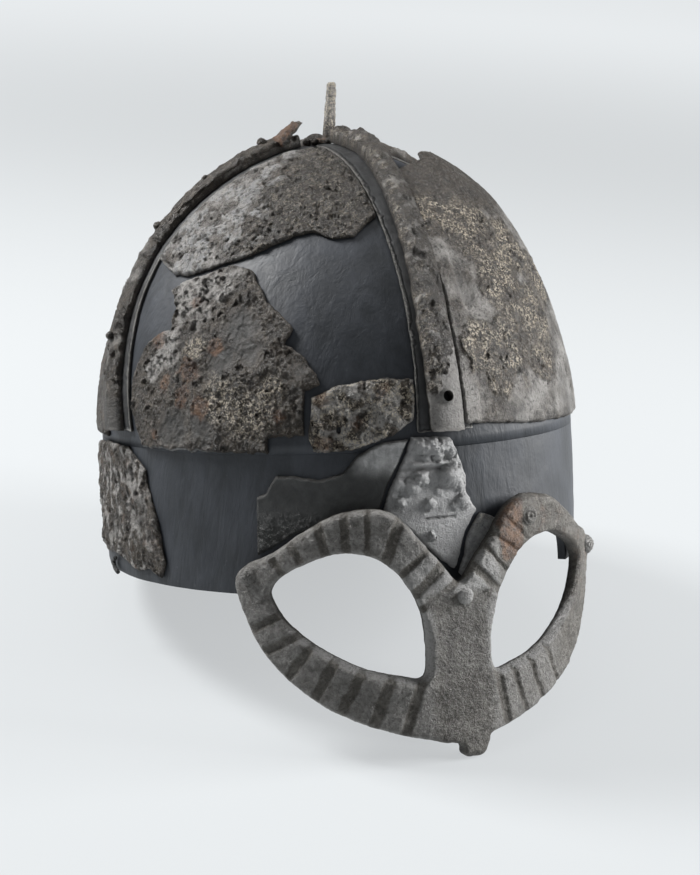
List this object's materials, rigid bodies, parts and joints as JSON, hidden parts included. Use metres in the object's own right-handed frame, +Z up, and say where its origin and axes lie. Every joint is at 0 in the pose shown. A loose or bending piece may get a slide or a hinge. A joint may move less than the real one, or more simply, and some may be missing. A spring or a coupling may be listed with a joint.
{
  "type": "norse iron spectacle helmet on a restoration shell",
  "caption": "Rounded iron helmet of corroded plates, raised ribs, a crown spike and a spectacle-shaped face guard, set on a smooth dark restoration shell.",
  "frame": {"origin": "centre of the bounding box's bottom, on the floor that the helmet rests on", "axes": "+Z up from the floor, -Y the way the face looks, +X the wearer's left; the helmet leans back at rest"},
  "size_m": [0.2166, 0.2768, 0.2302],
  "materials": {
    "shell": "smooth matt slate-grey infill paint",
    "dark_iron": "pitted brown-grey corroded iron",
    "pale_iron": "pale grey and cream pitted corroded iron",
    "guard_iron": "dark grey iron with raised bars",
    "smooth_iron": "smooth dark grey iron"
  },
  "bodies": {
    "root": {"crown_base": "shell", "brow_base": "shell", "strip_fore_aft": "dark_iron", "strip_right": "dark_iron", "strip_left": "dark_iron", "rib_back": "dark_iron", "rib_right": "dark_iron", "rib_left": "dark_iron", "plate_right_large": "dark_iron", "plate_right_small": "dark_iron", "plate_rear_left": "dark_iron", "plate_rear_right": "dark_iron", "brow_fragment_side": "dark_iron", "mail_ring": "dark_iron", "rib_front": "pale_iron", "plate_right_top": "pale_iron", "plate_left": "pale_iron", "brow_fragment_centre": "pale_iron", "brow_fragment_strip": "pale_iron", "spike": "pale_iron", "rivet_left_eye": "pale_iron", "spectacle_guard": "guard_iron", "rivet_nasal": "guard_iron", "rivet_left_end": "guard_iron", "rivet_right_end": "guard_iron", "brow_fragment_dark": "smooth_iron"}
  },
  "joints": []
}
